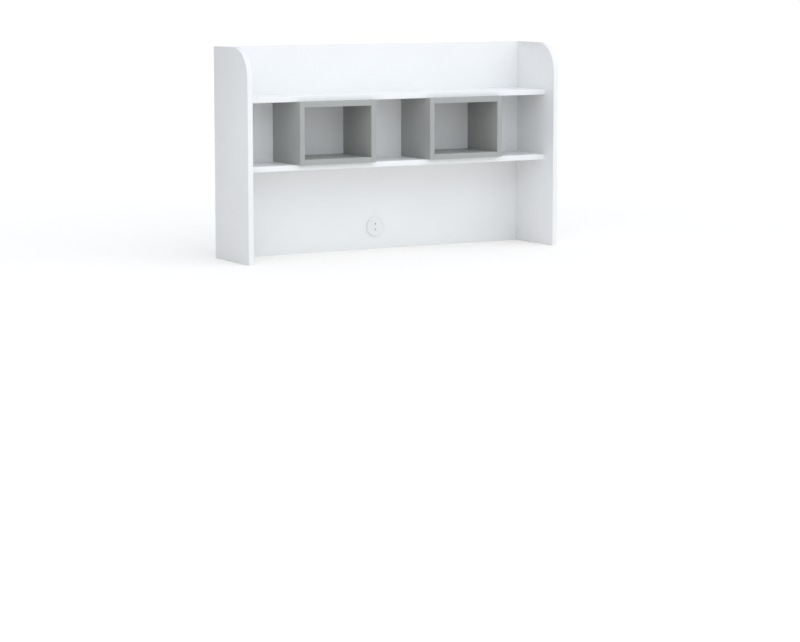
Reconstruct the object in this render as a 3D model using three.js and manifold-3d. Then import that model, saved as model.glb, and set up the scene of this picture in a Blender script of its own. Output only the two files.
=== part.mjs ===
// Desk hutch: a flat-pack upper unit of laminated board with two open cubbies and a round power outlet.
//
// Millimetres, +Z up, front towards -Y. The origin is at the middle of the footprint, on the desk top.
// Every piece that is separate on the real hutch is one named mesh.

import * as THREE from "three";
import { mergeVertices } from "three/addons/utils/BufferGeometryUtils.js";
import Module from "manifold-3d";

const wasm = await Module();
wasm.setup();

// ---------------------------------------------------------------- driving dimensions

const WIDTH = 1200;
const DEPTH = 248;
const HEIGHT = 704;
const BOARD = 18;
const CORNER_RADIUS = 100;
const LOWER_SHELF_UNDERSIDE = 298;
const CUBBY_HEIGHT = 208;
const CUBBY_WIDTH = 287;
const OUTER_BAY_WIDTH = 190;
const SHELF_SETBACK = 55;
const CUBBY_SETBACK = 34;

// Fittings that hold the boards together.
const CAM_OFFSET = 34;
const CAM_RADIUS = 7.3;
const CAM_LENGTH = 12.5;
const CAM_POCKET_RADIUS = 7.6;
const CAM_POCKET_DEPTH = 13;
const CAM_ROW_INSET = 38;
const BACK_CAM_HEIGHTS = [110, 620];
const BOLT_THREAD_LENGTH = 11;
const BOLT_THREAD_HOLE_RADIUS = 2.8;
const BOLT_SHAFT_HOLE_RADIUS = 4;
const DOWEL_RADIUS = 4;
const DOWEL_HOLE_RADIUS = 4.3;
const DOWEL_IN_SIDE = 10;
const DOWEL_IN_END = 20;
const SCREW_LENGTH = 30;
const SCREW_HEAD_RADIUS = 4;
const SCREW_SHANK_RADIUS = 2;
const CUBBY_SCREW_SPACING = 160;
const CONNECTOR_LENGTH = 50;
const CONNECTOR_HEAD_RADIUS = 5;
const CONNECTOR_SHANK_RADIUS = 3.2;
const HEAD_POCKET_DEPTH = 3.4;
const CLEARANCE = 0.3;

// Power outlet, let into the back panel.
const OUTLET_HEIGHT = 77;
const OUTLET_FLANGE_RADIUS = 34;
const OUTLET_PROUD = 7;
const OUTLET_DISH_DEPTH = 2.5;
const OUTLET_FACE_THICKNESS = 2.5;
const OUTLET_HOLE_RADIUS = 27.5;
const OUTLET_SKIRT_RADIUS = 27;
const OUTLET_CAVITY_RADIUS = 23.5;
const PIN_SPACING = 19;
const PIN_HOLE_RADIUS = 2.6;
const PIN_CLEARANCE = 0.2;
const SHUTTER_TRAVEL = 6;
const REAR_COVER_RADIUS = 32;
const REAR_COVER_THICKNESS = 2.4;
const GROMMET_RADIUS = 5.5;
const GROMMET_DROP = 14;

// ---------------------------------------------------------------- derived places

const innerHalf = WIDTH / 2 - BOARD;
const frontY = -DEPTH / 2;
const backY = DEPTH / 2;
const backPanelFrontY = backY - BOARD;
const shelfFrontY = frontY + SHELF_SETBACK;
const shelfDepth = backPanelFrontY - shelfFrontY;
const cubbyFrontY = frontY + CUBBY_SETBACK;
const cubbyDepth = backPanelFrontY - cubbyFrontY;
const cubbyBottom = LOWER_SHELF_UNDERSIDE + BOARD;
const upperShelfUnderside = cubbyBottom + CUBBY_HEIGHT;
const cubbyCentreX = innerHalf - OUTER_BAY_WIDTH - CUBBY_WIDTH / 2;
const cubbyInnerWidth = CUBBY_WIDTH - 2 * BOARD;
const backPanelMidY = backY - BOARD / 2;
const SIDES = [
  { label: "left", sign: -1 },
  { label: "right", sign: 1 },
];
const SHELVES = [
  { label: "lower", underside: LOWER_SHELF_UNDERSIDE },
  { label: "upper", underside: upperShelfUnderside },
];
const ROWS = [
  { label: "front", y: shelfFrontY + CAM_ROW_INSET },
  { label: "rear", y: backPanelFrontY - CAM_ROW_INSET },
];

// ---------------------------------------------------------------- materials

const material = (color, roughness, metalness = 0) =>
  new THREE.MeshStandardMaterial({ color, roughness, metalness });
const whiteBoard = material(0xf1f3f5, 0.5);
const greyBoard = material(0xaeb3b2, 0.55);
const zinc = material(0x9c9d9b, 0.4, 1);
const steel = material(0xb9bcbe, 0.3, 1);
const brass = material(0xc9a54e, 0.35, 1);
const beech = material(0xd2ac78, 0.7);
const whitePlastic = material(0xeef0f1, 0.35);
const greyPlastic = material(0x8f9492, 0.45);
const blackRubber = material(0x2a2b2c, 0.8);

// ---------------------------------------------------------------- solids

function toSolid(geometry) {
  const bare = geometry.clone();
  bare.deleteAttribute("normal");
  bare.deleteAttribute("uv");
  const merged = mergeVertices(bare, 1e-4);
  return new wasm.Manifold(new wasm.Mesh({
    numProp: 3,
    vertProperties: new Float32Array(merged.attributes.position.array),
    triVerts: new Uint32Array(merged.index.array),
  }));
}

function toGeometry(solid) {
  const { vertProperties, triVerts } = solid.getMesh();
  const geometry = new THREE.BufferGeometry();
  geometry.setAttribute("position", new THREE.BufferAttribute(vertProperties, 3));
  geometry.setIndex(new THREE.BufferAttribute(triVerts, 1));
  geometry.computeVertexNormals();
  return geometry;
}

function cut(geometry, tools) {
  let solid = toSolid(geometry);
  for (const tool of tools) {
    solid = solid.subtract(toSolid(tool));
  }
  return toGeometry(solid);
}

function join(...geometries) {
  const solids = geometries.map(toSolid);
  return toGeometry(solids.reduce((whole, solid) => whole.add(solid)));
}

function block(size, centre) {
  return new THREE.BoxGeometry(...size).translate(...centre);
}

// A straight round rod between two points that lie along one axis.
function rod(radius, start, end, segments = 16) {
  const from = new THREE.Vector3(...start);
  const to = new THREE.Vector3(...end);
  const direction = to.clone().sub(from);
  const turn = new THREE.Quaternion().setFromUnitVectors(
    new THREE.Vector3(0, 1, 0),
    direction.clone().normalize(),
  );
  const middle = from.add(to).divideScalar(2);
  return new THREE.CylinderGeometry(radius, radius, direction.length(), segments)
    .applyQuaternion(turn)
    .translate(middle.x, middle.y, middle.z);
}

// A turned solid. The profile is [radius, height] points, from the axis and back to it, and stands on +Z.
function turned(profile, segments) {
  const points = profile.map(([radius, height]) => new THREE.Vector2(radius, height));
  return new THREE.LatheGeometry(points, segments).rotateX(Math.PI / 2);
}

const hutch = new THREE.Group();

function place(name, geometry, look, position = [0, 0, 0], parent = hutch) {
  const mesh = new THREE.Mesh(geometry, look);
  mesh.name = name;
  mesh.position.set(...position);
  parent.add(mesh);
  return mesh;
}

// A group whose local +Z points along the given direction of the hutch.
function facing(direction, position) {
  const group = new THREE.Group();
  group.quaternion.setFromUnitVectors(new THREE.Vector3(0, 0, 1), new THREE.Vector3(...direction));
  group.position.set(...position);
  hutch.add(group);
  return group;
}

// A rectangular board. Its drillings are given where they are in the hutch.
function placeBoard(name, size, centre, look, drillings) {
  const tools = drillings.map((drilling) => drilling.clone().translate(...centre.map((value) => -value)));
  place(name, cut(new THREE.BoxGeometry(...size), tools), look, centre);
}

// ---------------------------------------------------------------- cam fittings

// Every cam bolt runs along X, from the side panel into the edge of the shelf or the back panel. A fitting
// says where the bolt leaves the side panel and which way the cam lock's face looks.
const shelfFittings = SIDES.flatMap(({ label: side, sign }) =>
  SHELVES.flatMap(({ label: shelf, underside }) =>
    ROWS.map(({ label: row, y }) => ({
      name: `${shelf}_shelf_${side}_${row}`,
      board: `${shelf}_shelf`,
      sign,
      boltY: y,
      boltZ: underside + BOARD / 2,
      faceDirection: [0, 0, -1],
    })),
  ),
);
const backFittings = SIDES.flatMap(({ label: side, sign }) =>
  BACK_CAM_HEIGHTS.map((height, index) => ({
    name: `back_panel_${side}_${index === 0 ? "low" : "high"}`,
    board: "back_panel",
    sign,
    boltY: backPanelMidY,
    boltZ: height,
    faceDirection: [0, 1, 0],
  })),
);
const fittings = [...shelfFittings, ...backFittings];

function threadHole({ sign, boltY, boltZ }) {
  const outer = sign * (innerHalf + BOLT_THREAD_LENGTH + CLEARANCE);
  return rod(BOLT_THREAD_HOLE_RADIUS, [sign * (innerHalf - 1), boltY, boltZ], [outer, boltY, boltZ], 8);
}

// The pocket for the cam lock and the long hole for the bolt's shaft.
function camDrillings({ sign, boltY, boltZ, faceDirection }) {
  const camX = sign * (innerHalf - CAM_OFFSET);
  const alongFace = (distance) => [
    camX,
    boltY + faceDirection[1] * distance,
    boltZ + faceDirection[2] * distance,
  ];
  const surface = BOARD / 2;
  return [
    rod(CAM_POCKET_RADIUS, alongFace(surface + 1), alongFace(surface - CAM_POCKET_DEPTH), 20),
    rod(BOLT_SHAFT_HOLE_RADIUS, [sign * (innerHalf + 1), boltY, boltZ], [camX, boltY, boltZ], 8),
  ];
}

// The cam lock stands on +Z with its visible face up. Its jaw is open below and towards the side panel,
// which is on +X or -X as jawSide says, and takes the bolt's head.
function camLock(jawSide) {
  const jawHalfWidth = 3.7;
  const jawStart = -3;
  const jawEnd = CAM_RADIUS + 1;
  const jawBottom = -CAM_LENGTH - 1;
  const jawTop = CLEARANCE - BOARD / 2 + jawHalfWidth;
  const crossLength = 8;
  const crossWidth = 1.6;
  const crossDepth = 2;
  return cut(turned([[0, -CAM_LENGTH], [CAM_RADIUS, -CAM_LENGTH], [CAM_RADIUS, 0], [0, 0]], 24), [
    block(
      [jawEnd - jawStart, 2 * jawHalfWidth, jawTop - jawBottom],
      [(jawSide * (jawStart + jawEnd)) / 2, 0, (jawTop + jawBottom) / 2],
    ),
    block([crossLength, crossWidth, 2 * crossDepth], [0, 0, 0]),
    block([crossWidth, crossLength, 2 * crossDepth], [0, 0, 0]),
  ]);
}

// The bolt's thread points down -Z into the side panel, and its head stands in the cam lock on +Z.
function camBolt() {
  const threadRadius = 2.5;
  const collarRadius = 3.5;
  const shaftRadius = 2.9;
  const neckRadius = 1.6;
  const headRadius = 3.2;
  const collarEnd = 2;
  const taper = 1;
  const headLength = 2;
  const neckStart = CAM_OFFSET - CAM_RADIUS;
  const headStart = CAM_OFFSET - headLength;
  return turned([
    [0, -BOLT_THREAD_LENGTH],
    [threadRadius, -BOLT_THREAD_LENGTH],
    [threadRadius, CLEARANCE],
    [collarRadius, CLEARANCE],
    [collarRadius, collarEnd],
    [shaftRadius, collarEnd],
    [shaftRadius, neckStart - taper],
    [neckRadius, neckStart],
    [neckRadius, headStart - taper],
    [headRadius, headStart],
    [headRadius, CAM_OFFSET],
    [0, CAM_OFFSET + taper],
  ], 8);
}

for (const fitting of fittings) {
  const { name, sign, boltY, boltZ, faceDirection } = fitting;
  const surface = BOARD / 2 - CLEARANCE;
  const lockGroup = facing(faceDirection, [
    sign * (innerHalf - CAM_OFFSET),
    boltY + faceDirection[1] * surface,
    boltZ + faceDirection[2] * surface,
  ]);
  // Turning +Z straight down by the shortest way turns the group about X or Y, and so may swap local +X.
  const localX = new THREE.Vector3(1, 0, 0).applyQuaternion(lockGroup.quaternion).x;
  place(`${name}_cam_lock`, camLock(Math.sign(localX) * sign), zinc, [0, 0, 0], lockGroup);
  const boltGroup = facing([-sign, 0, 0], [sign * innerHalf, boltY, boltZ]);
  place(`${name}_cam_bolt`, camBolt(), steel, [0, 0, 0], boltGroup);
}

// ---------------------------------------------------------------- screws

// A countersunk screw with its head's face at z = 0 and its shank down -Z.
function screw(length, headRadius, shankRadius) {
  const pointLength = 3;
  const rimHeight = 0.6;
  const headHeight = rimHeight + headRadius - shankRadius;
  const recessLength = 1.2 * headRadius;
  const recessWidth = 1;
  const recessDepth = 1;
  const shape = turned([
    [0, -length],
    [shankRadius, -length + pointLength],
    [shankRadius, -headHeight],
    [headRadius, -rimHeight],
    [headRadius, 0],
    [0, 0],
  ], 16);
  return cut(shape, [
    block([recessLength, recessWidth, 2 * recessDepth], [0, 0, 0]),
    block([recessWidth, recessLength, 2 * recessDepth], [0, 0, 0]),
  ]);
}

const cubbyScrews = SIDES.flatMap(({ label, sign }) =>
  SIDES.map(({ label: end, sign: endSign }) => ({
    name: `${label}_cubby_${end}_fixing_screw`,
    x: sign * cubbyCentreX + (endSign * CUBBY_SCREW_SPACING) / 2,
  })),
);
const cubbyScrewY = (cubbyFrontY + backPanelFrontY) / 2;

for (const { name, x } of cubbyScrews) {
  const group = facing([0, 0, -1], [x, cubbyScrewY, LOWER_SHELF_UNDERSIDE + CLEARANCE]);
  place(name, screw(SCREW_LENGTH, SCREW_HEAD_RADIUS, SCREW_SHANK_RADIUS), steel, [0, 0, 0], group);
}

function cubbyScrewHoles(x) {
  const z = LOWER_SHELF_UNDERSIDE;
  const headRadius = SCREW_HEAD_RADIUS + CLEARANCE;
  return [
    rod(headRadius, [x, cubbyScrewY, z - 1], [x, cubbyScrewY, z + HEAD_POCKET_DEPTH], 20),
    rod(SCREW_SHANK_RADIUS + CLEARANCE, [x, cubbyScrewY, z], [x, cubbyScrewY, z + SCREW_LENGTH + 1], 12),
  ];
}

for (const { label, underside } of SHELVES) {
  const group = facing([0, 1, 0], [0, backY - CLEARANCE, underside + BOARD / 2]);
  const connector = screw(CONNECTOR_LENGTH, CONNECTOR_HEAD_RADIUS, CONNECTOR_SHANK_RADIUS);
  place(`${label}_shelf_back_screw`, connector, steel, [0, 0, 0], group);
}

function connectorHoles({ underside }) {
  const z = underside + BOARD / 2;
  const headRadius = CONNECTOR_HEAD_RADIUS + CLEARANCE;
  return [
    rod(headRadius, [0, backY + 1, z], [0, backY - HEAD_POCKET_DEPTH, z], 20),
    rod(CONNECTOR_SHANK_RADIUS + CLEARANCE, [0, backY, z], [0, backY - CONNECTOR_LENGTH - 1, z], 12),
  ];
}

// ---------------------------------------------------------------- side panels

// The outline is drawn with x as the hutch's Y and y as its Z, then stood up across the hutch's X.
function sidePanelGeometry() {
  const outline = new THREE.Shape();
  outline.moveTo(frontY, 0);
  outline.lineTo(backY, 0);
  outline.lineTo(backY, HEIGHT);
  outline.lineTo(frontY + CORNER_RADIUS, HEIGHT);
  outline.absarc(frontY + CORNER_RADIUS, HEIGHT - CORNER_RADIUS, CORNER_RADIUS, Math.PI / 2, Math.PI);
  outline.closePath();
  return new THREE.ExtrudeGeometry(outline, { depth: BOARD, bevelEnabled: false, curveSegments: 36 })
    .rotateX(Math.PI / 2)
    .rotateZ(Math.PI / 2);
}

for (const { label, sign } of SIDES) {
  const insideX = sign * innerHalf;
  const lowX = Math.min(insideX, insideX + sign * BOARD);
  const holes = fittings
    .filter((fitting) => fitting.sign === sign)
    .map((fitting) => threadHole(fitting).translate(-lowX, 0, 0));
  place(`${label}_side_panel`, cut(sidePanelGeometry(), holes), whiteBoard, [lowX, 0, 0]);
}

// ---------------------------------------------------------------- shelves and back panel

for (const shelf of SHELVES) {
  const drillings = [
    ...shelfFittings.filter(({ board }) => board === `${shelf.label}_shelf`).flatMap(camDrillings),
    ...connectorHoles(shelf),
  ];
  if (shelf.label === "lower") {
    drillings.push(...cubbyScrews.flatMap(({ x }) => cubbyScrewHoles(x)));
  }
  placeBoard(
    `${shelf.label}_shelf`,
    [2 * innerHalf, shelfDepth, BOARD],
    [0, shelfFrontY + shelfDepth / 2, shelf.underside + BOARD / 2],
    whiteBoard,
    drillings,
  );
}

placeBoard(
  "back_panel",
  [2 * innerHalf, BOARD, HEIGHT],
  [0, backPanelMidY, HEIGHT / 2],
  whiteBoard,
  [
    ...backFittings.flatMap(camDrillings),
    ...SHELVES.flatMap(connectorHoles),
    rod(OUTLET_HOLE_RADIUS, [0, backPanelFrontY - 1, OUTLET_HEIGHT], [0, backY + 1, OUTLET_HEIGHT], 40),
    rod(
      REAR_COVER_RADIUS + CLEARANCE,
      [0, backY - REAR_COVER_THICKNESS - CLEARANCE, OUTLET_HEIGHT],
      [0, backY + 1, OUTLET_HEIGHT],
      40,
    ),
  ],
);

// ---------------------------------------------------------------- cubbies

// The upright boards run the cubby's full height; the top and bottom boards stand between them on dowels.
function placeCubby(label, centreX) {
  const middleY = cubbyFrontY + cubbyDepth / 2;
  const middleZ = cubbyBottom + CUBBY_HEIGHT / 2;
  const levels = [
    { name: "bottom", z: cubbyBottom + BOARD / 2 },
    { name: "top", z: cubbyBottom + CUBBY_HEIGHT - BOARD / 2 },
  ];
  const dowelHole = (sign, z) => {
    const jointX = centreX + (sign * cubbyInnerWidth) / 2;
    const start = jointX + sign * (DOWEL_IN_SIDE + CLEARANCE);
    const end = jointX - sign * (DOWEL_IN_END + CLEARANCE);
    return rod(DOWEL_HOLE_RADIUS, [start, middleY, z], [end, middleY, z], 12);
  };
  for (const { label: side, sign } of SIDES) {
    placeBoard(
      `${label}_cubby_${side}_board`,
      [BOARD, cubbyDepth, CUBBY_HEIGHT],
      [centreX + (sign * (CUBBY_WIDTH - BOARD)) / 2, middleY, middleZ],
      greyBoard,
      levels.map(({ z }) => dowelHole(sign, z)),
    );
    for (const { name, z } of levels) {
      const jointX = centreX + (sign * cubbyInnerWidth) / 2;
      const dowel = rod(DOWEL_RADIUS, [sign * DOWEL_IN_SIDE, 0, 0], [-sign * DOWEL_IN_END, 0, 0], 12);
      place(`${label}_cubby_${name}_${side}_dowel`, dowel, beech, [jointX, middleY, z]);
    }
  }
  for (const { name, z } of levels) {
    const drillings = SIDES.map(({ sign }) => dowelHole(sign, z));
    if (name === "bottom") {
      const screws = cubbyScrews.filter((fixing) => fixing.name.startsWith(`${label}_cubby`));
      drillings.push(...screws.map(({ x }) => cubbyScrewHoles(x)[1]));
    }
    placeBoard(
      `${label}_cubby_${name}_board`,
      [cubbyInnerWidth, cubbyDepth, BOARD],
      [centreX, middleY, z],
      greyBoard,
      drillings,
    );
  }
}

for (const { label, sign } of SIDES) {
  placeCubby(label, sign * cubbyCentreX);
}

// ---------------------------------------------------------------- power outlet

// The outlet is built facing +Z with z = 0 on the front of the back panel, then turned to face the front.
// Its local +Y becomes the hutch's +Z.
const outlet = new THREE.Group();
outlet.position.set(0, backPanelFrontY, OUTLET_HEIGHT);
outlet.rotation.x = Math.PI / 2;
hutch.add(outlet);

const FACE_Z = OUTLET_PROUD - OUTLET_DISH_DEPTH;
const FACE_INSIDE_Z = FACE_Z - OUTLET_FACE_THICKNESS;
const SKIRT_END_Z = -7;
const BODY_FRONT_Z = -2.2;
const BODY_BACK_Z = -14;
const COVER_BACK_Z = -BOARD;
const SHUTTER_Z = (FACE_INSIDE_Z + BODY_FRONT_Z) / 2;
const SHUTTER_REST_Y = -3;
const SHUTTER_HEIGHT = 32;
const SHUTTER_SPRING_GAP = 0.7;
const pinOffsets = [-PIN_SPACING / 2, PIN_SPACING / 2];

function faceplate() {
  const roundRadius = 2.5;
  const roundSteps = 4;
  const dishTopRadius = 27.5;
  const dishFloorRadius = 25;
  const profile = [
    [0, FACE_INSIDE_Z],
    [OUTLET_CAVITY_RADIUS, FACE_INSIDE_Z],
    [OUTLET_CAVITY_RADIUS, SKIRT_END_Z],
    [OUTLET_SKIRT_RADIUS, SKIRT_END_Z],
    [OUTLET_SKIRT_RADIUS, 0],
    [OUTLET_FLANGE_RADIUS, 0],
  ];
  for (let step = 0; step <= roundSteps; step += 1) {
    const angle = (step / roundSteps) * (Math.PI / 2);
    profile.push([
      OUTLET_FLANGE_RADIUS + roundRadius * (Math.cos(angle) - 1),
      OUTLET_PROUD + roundRadius * (Math.sin(angle) - 1),
    ]);
  }
  profile.push([dishTopRadius, OUTLET_PROUD], [dishFloorRadius, FACE_Z], [0, FACE_Z]);
  const holes = pinOffsets.map((y) => rod(PIN_HOLE_RADIUS, [0, y, -1], [0, y, OUTLET_PROUD], 16));
  return cut(turned(profile, 40), holes);
}

// A plate between the faceplate and the body. At rest its windows miss the pin holes; lifted, they meet.
function shutter() {
  const width = 16;
  const thickness = 2;
  const windowRadius = PIN_HOLE_RADIUS + PIN_CLEARANCE;
  const plate = block([width, SHUTTER_HEIGHT, thickness], [0, SHUTTER_REST_Y, 0]);
  const windows = pinOffsets.map((y) => {
    const windowY = y - SHUTTER_TRAVEL;
    return rod(windowRadius, [0, windowY, -thickness], [0, windowY, thickness], 16);
  });
  return cut(plate, windows);
}

// A small compression spring along local Y, between the shutter's upper edge and the cavity's wall.
class SpringCurve extends THREE.Curve {
  constructor(radius, length, turns) {
    super();
    Object.assign(this, { radius, length, turns });
  }

  getPoint(t, target = new THREE.Vector3()) {
    const angle = t * this.turns * 2 * Math.PI;
    return target.set(
      this.radius * Math.cos(angle),
      t * this.length,
      this.radius * Math.sin(angle),
    );
  }
}

function shutterSpring() {
  const wireRadius = 0.3;
  const coilRadius = 1.2;
  const length = 9;
  const turns = 4;
  const sides = 5;
  const stepsPerTurn = 9;
  const section = new THREE.Shape(
    Array.from({ length: sides }, (unused, index) => {
      const angle = (index / sides) * 2 * Math.PI;
      return new THREE.Vector2(wireRadius * Math.cos(angle), wireRadius * Math.sin(angle));
    }),
  );
  return new THREE.ExtrudeGeometry(section, {
    extrudePath: new SpringCurve(coilRadius, length, turns),
    steps: stepsPerTurn * turns,
    bevelEnabled: false,
  });
}

function outletBody() {
  const radius = OUTLET_CAVITY_RADIUS - CLEARANCE;
  const pinHoleRadius = PIN_HOLE_RADIUS + PIN_CLEARANCE;
  const chamberWidth = 9;
  const frontWall = 1.5;
  const chamberBack = BODY_BACK_Z - 1;
  const chamberFront = BODY_FRONT_Z - frontWall;
  const disc = turned([
    [0, BODY_BACK_Z],
    [radius, BODY_BACK_Z],
    [radius, BODY_FRONT_Z],
    [0, BODY_FRONT_Z],
  ], 32);
  const cuts = pinOffsets.flatMap((y) => [
    rod(pinHoleRadius, [0, y, BODY_FRONT_Z + 1], [0, y, BODY_BACK_Z], 16),
    block(
      [chamberWidth, chamberWidth, chamberFront - chamberBack],
      [0, y, (chamberFront + chamberBack) / 2],
    ),
  ]);
  return cut(disc, cuts);
}

// A contact tube for one pin, with a tab on its rear end for the wire.
function contact() {
  const outer = 3.6;
  const inner = 2.3;
  const length = 9;
  const tabSize = [4, 0.8, 3];
  const tabRise = 0.5;
  const tube = turned([[inner, 0], [outer, 0], [outer, length], [inner, length], [inner, 0]], 16);
  return join(tube, block(tabSize, [0, (inner + outer) / 2, tabRise]));
}

function rearCover() {
  const cavity = OUTLET_CAVITY_RADIUS;
  const skirtTop = SKIRT_END_Z - CLEARANCE;
  const shelfZ = COVER_BACK_Z + REAR_COVER_THICKNESS;
  const profile = [
    [0, COVER_BACK_Z],
    [REAR_COVER_RADIUS, COVER_BACK_Z],
    [REAR_COVER_RADIUS, shelfZ],
    [OUTLET_SKIRT_RADIUS, shelfZ],
    [OUTLET_SKIRT_RADIUS, skirtTop],
    [cavity, skirtTop],
    [cavity, shelfZ],
    [0, shelfZ],
  ];
  const hole = rod(
    GROMMET_RADIUS + CLEARANCE,
    [0, -GROMMET_DROP, COVER_BACK_Z - 1],
    [0, -GROMMET_DROP, shelfZ + 1],
    20,
  );
  return cut(turned(profile, 40), [hole]);
}

// A rubber ring that lines the hole where the outlet's cord enters.
function cordGrommet() {
  const bore = 3.2;
  return turned([
    [bore, 0],
    [GROMMET_RADIUS, 0],
    [GROMMET_RADIUS, REAR_COVER_THICKNESS],
    [bore, REAR_COVER_THICKNESS],
    [bore, 0],
  ], 20);
}

const contactInset = 0.5;
const contactStartZ = BODY_BACK_Z + contactInset;
const springStartY = SHUTTER_REST_Y + SHUTTER_HEIGHT / 2 + SHUTTER_SPRING_GAP;
place("outlet_faceplate", faceplate(), whitePlastic, [0, 0, 0], outlet);
place("outlet_shutter", shutter(), greyPlastic, [0, 0, SHUTTER_Z], outlet);
place("outlet_shutter_spring", shutterSpring(), steel, [0, springStartY, SHUTTER_Z], outlet);
place("outlet_body", outletBody(), greyPlastic, [0, 0, 0], outlet);
pinOffsets.forEach((y, index) => {
  const name = index === 0 ? "outlet_lower_contact" : "outlet_upper_contact";
  place(name, contact(), brass, [0, y, contactStartZ], outlet);
});
place("outlet_rear_cover", rearCover(), whitePlastic, [0, 0, 0], outlet);
place("outlet_cord_grommet", cordGrommet(), blackRubber, [0, -GROMMET_DROP, COVER_BACK_Z], outlet);

export default hutch;
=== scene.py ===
"""Looks of the desk hutch: laminated boards with edge strips, furniture fittings and a round power outlet.

Everything is in metres in the CAD frame: +X right, front towards -Y, +Z up, the desk top at z = 0.
Each CAD node is replaced by a detailed piece, made from its own mesh or built around its place. Small
pieces are drawn in millimetres, each in its own frame, and then put in their place.
"""

import math

import bmesh
import bpy
from mathutils import Matrix, Vector


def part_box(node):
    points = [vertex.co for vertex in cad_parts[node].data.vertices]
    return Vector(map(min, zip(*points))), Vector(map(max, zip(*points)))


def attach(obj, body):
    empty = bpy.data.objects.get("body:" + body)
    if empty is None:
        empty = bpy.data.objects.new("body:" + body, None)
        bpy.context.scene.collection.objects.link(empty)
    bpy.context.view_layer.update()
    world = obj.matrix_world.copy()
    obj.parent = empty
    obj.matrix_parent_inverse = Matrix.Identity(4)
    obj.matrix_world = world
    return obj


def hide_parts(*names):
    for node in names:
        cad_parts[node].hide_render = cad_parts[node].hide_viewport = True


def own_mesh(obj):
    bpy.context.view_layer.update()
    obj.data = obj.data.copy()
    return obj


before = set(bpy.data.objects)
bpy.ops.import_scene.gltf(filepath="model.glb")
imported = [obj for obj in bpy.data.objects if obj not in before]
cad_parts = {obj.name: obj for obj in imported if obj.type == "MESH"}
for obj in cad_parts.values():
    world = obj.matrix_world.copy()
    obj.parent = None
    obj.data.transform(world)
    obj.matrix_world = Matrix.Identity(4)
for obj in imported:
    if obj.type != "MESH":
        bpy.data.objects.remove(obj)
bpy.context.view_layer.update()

# ---------------------------------------------------------------- driving values

MM = 0.001

# Turns of the surface, in degrees: least at a hard edge, least at a board's arris, most within a flat.
SHARP_ANGLE = 32
ARRIS_ANGLE = 60
FLAT_ANGLE = 0.3

# Boards. A point within TOUCH of a side lies on it, and so does one within ARC_TOUCH of the round corner.
TOUCH = 0.02 * MM
ARC_TOUCH = 0.1 * MM
BOARD_WELD = 0.005 * MM
EDGE_RADIUS = 0.9 * MM
EDGE_STEPS = 3
CORNER_RADIUS = 100 * MM

# Small pieces, in millimetres. A cutter reaches PAST the surface that it cuts.
WELD = 0.001
PAST = 1.0

# A hole's corners stay off the corners of the disc that it is cut from, so this isn't a multiple of four.
HOLE_SEGMENTS = 54

# A rounded corner takes at most this share of each side next to it.
CORNER_SHARE = 0.45

# A screw thread: rings along each pitch, and how steep its flanks are.
RINGS_PER_PITCH = 8
THREAD_FLANK = 1.6

# Fittings, in millimetres
CAM_RADIUS = 7.3
CAM_LENGTH = 12.5
CAM_OFFSET = 34.0
BOLT_THREAD_LENGTH = 11.0
SCREW_LENGTH = 30.0
SCREW_HEAD_RADIUS = 4.0
SCREW_SHANK_RADIUS = 2.0
CONNECTOR_LENGTH = 50.0
CONNECTOR_HEAD_RADIUS = 5.0
CONNECTOR_SHANK_RADIUS = 3.2
DOWEL_RADIUS = 4.0
DOWEL_FLUTES = 18

# Power outlet, in millimetres. Its heights count from the front of the back panel.
FLANGE_RADIUS = 34.0
FLANGE_PROUD = 7.0
FLANGE_ROUND = 2.5
DISH_TOP_RADIUS = 27.5
DISH_FLOOR_RADIUS = 25.0
FACE_HEIGHT = 4.5
FACE_THICKNESS = 2.5
SKIRT_RADIUS = 27.0
CAVITY_RADIUS = 23.5
SKIRT_END = -7.0
PIN_SPACING = 19.0
PIN_HOLE_RADIUS = 2.6
PIN_CLEARANCE = 0.2
FIT_CLEARANCE = 0.3
BODY_FRONT = -2.2
BODY_BACK = -14.0
CONTACT_INSET = 0.5
SHUTTER_SIZE = (16.0, 32.0, 2.0)
SHUTTER_DROP = 3.0
SHUTTER_TRAVEL = 6.0
COVER_BACK = -18.0
COVER_RADIUS = 32.0
COVER_THICKNESS = 2.4
GROMMET_RADIUS = 5.5
GROMMET_BORE = 3.2
GROMMET_DROP = 14.0
SPRING_LOW = 13.4
SPRING_HIGH = 23.0

# Camera, fitted to the hutch's perspective
CAMERA_PLACE = (-4.139, -7.225, 0.956)
CAMERA_YAW = math.radians(30.04)
CAMERA_PITCH = math.radians(8.17)
CAMERA_LENS = 110.3
CAMERA_SENSOR = 36.0

FLOOR_HALF = 400.0
FLOOR_COLOUR = (0.985, 0.958, 0.93)
# To the camera the floor glows faintly, and more from FLOOR_NEAR to FLOOR_FAR, so that it meets the
# white dome without a line.
FLOOR_GLOW = 0.09
FLOOR_FAR_GLOW = 0.2
FLOOR_NEAR = 1.5
FLOOR_FAR = 7.0
LIGHT_TINT = (0.96, 0.998, 1.04)

# The studio dome's bright sides: each is a direction, as long as its side is bright.
DOME_SIDES = ((0.0, 0.0, 1.03), (0.0, -0.87, 0.0), (0.29, 0.0, 0.0))
LAMP_PLACE = (-2.6, -4.5, 3.4)
LAMP_TARGET = (0.0, 0.0, 0.4)
LAMP_SIZE = (3.0, 2.0)
LAMP_POWER = 21

BODY = "hutch"
SIDES = (("left", -1), ("right", 1))
SHELVES = ("lower", "upper")
PIN_HEIGHTS = (-PIN_SPACING / 2, PIN_SPACING / 2)


# ---------------------------------------------------------------- shader building blocks

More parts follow.
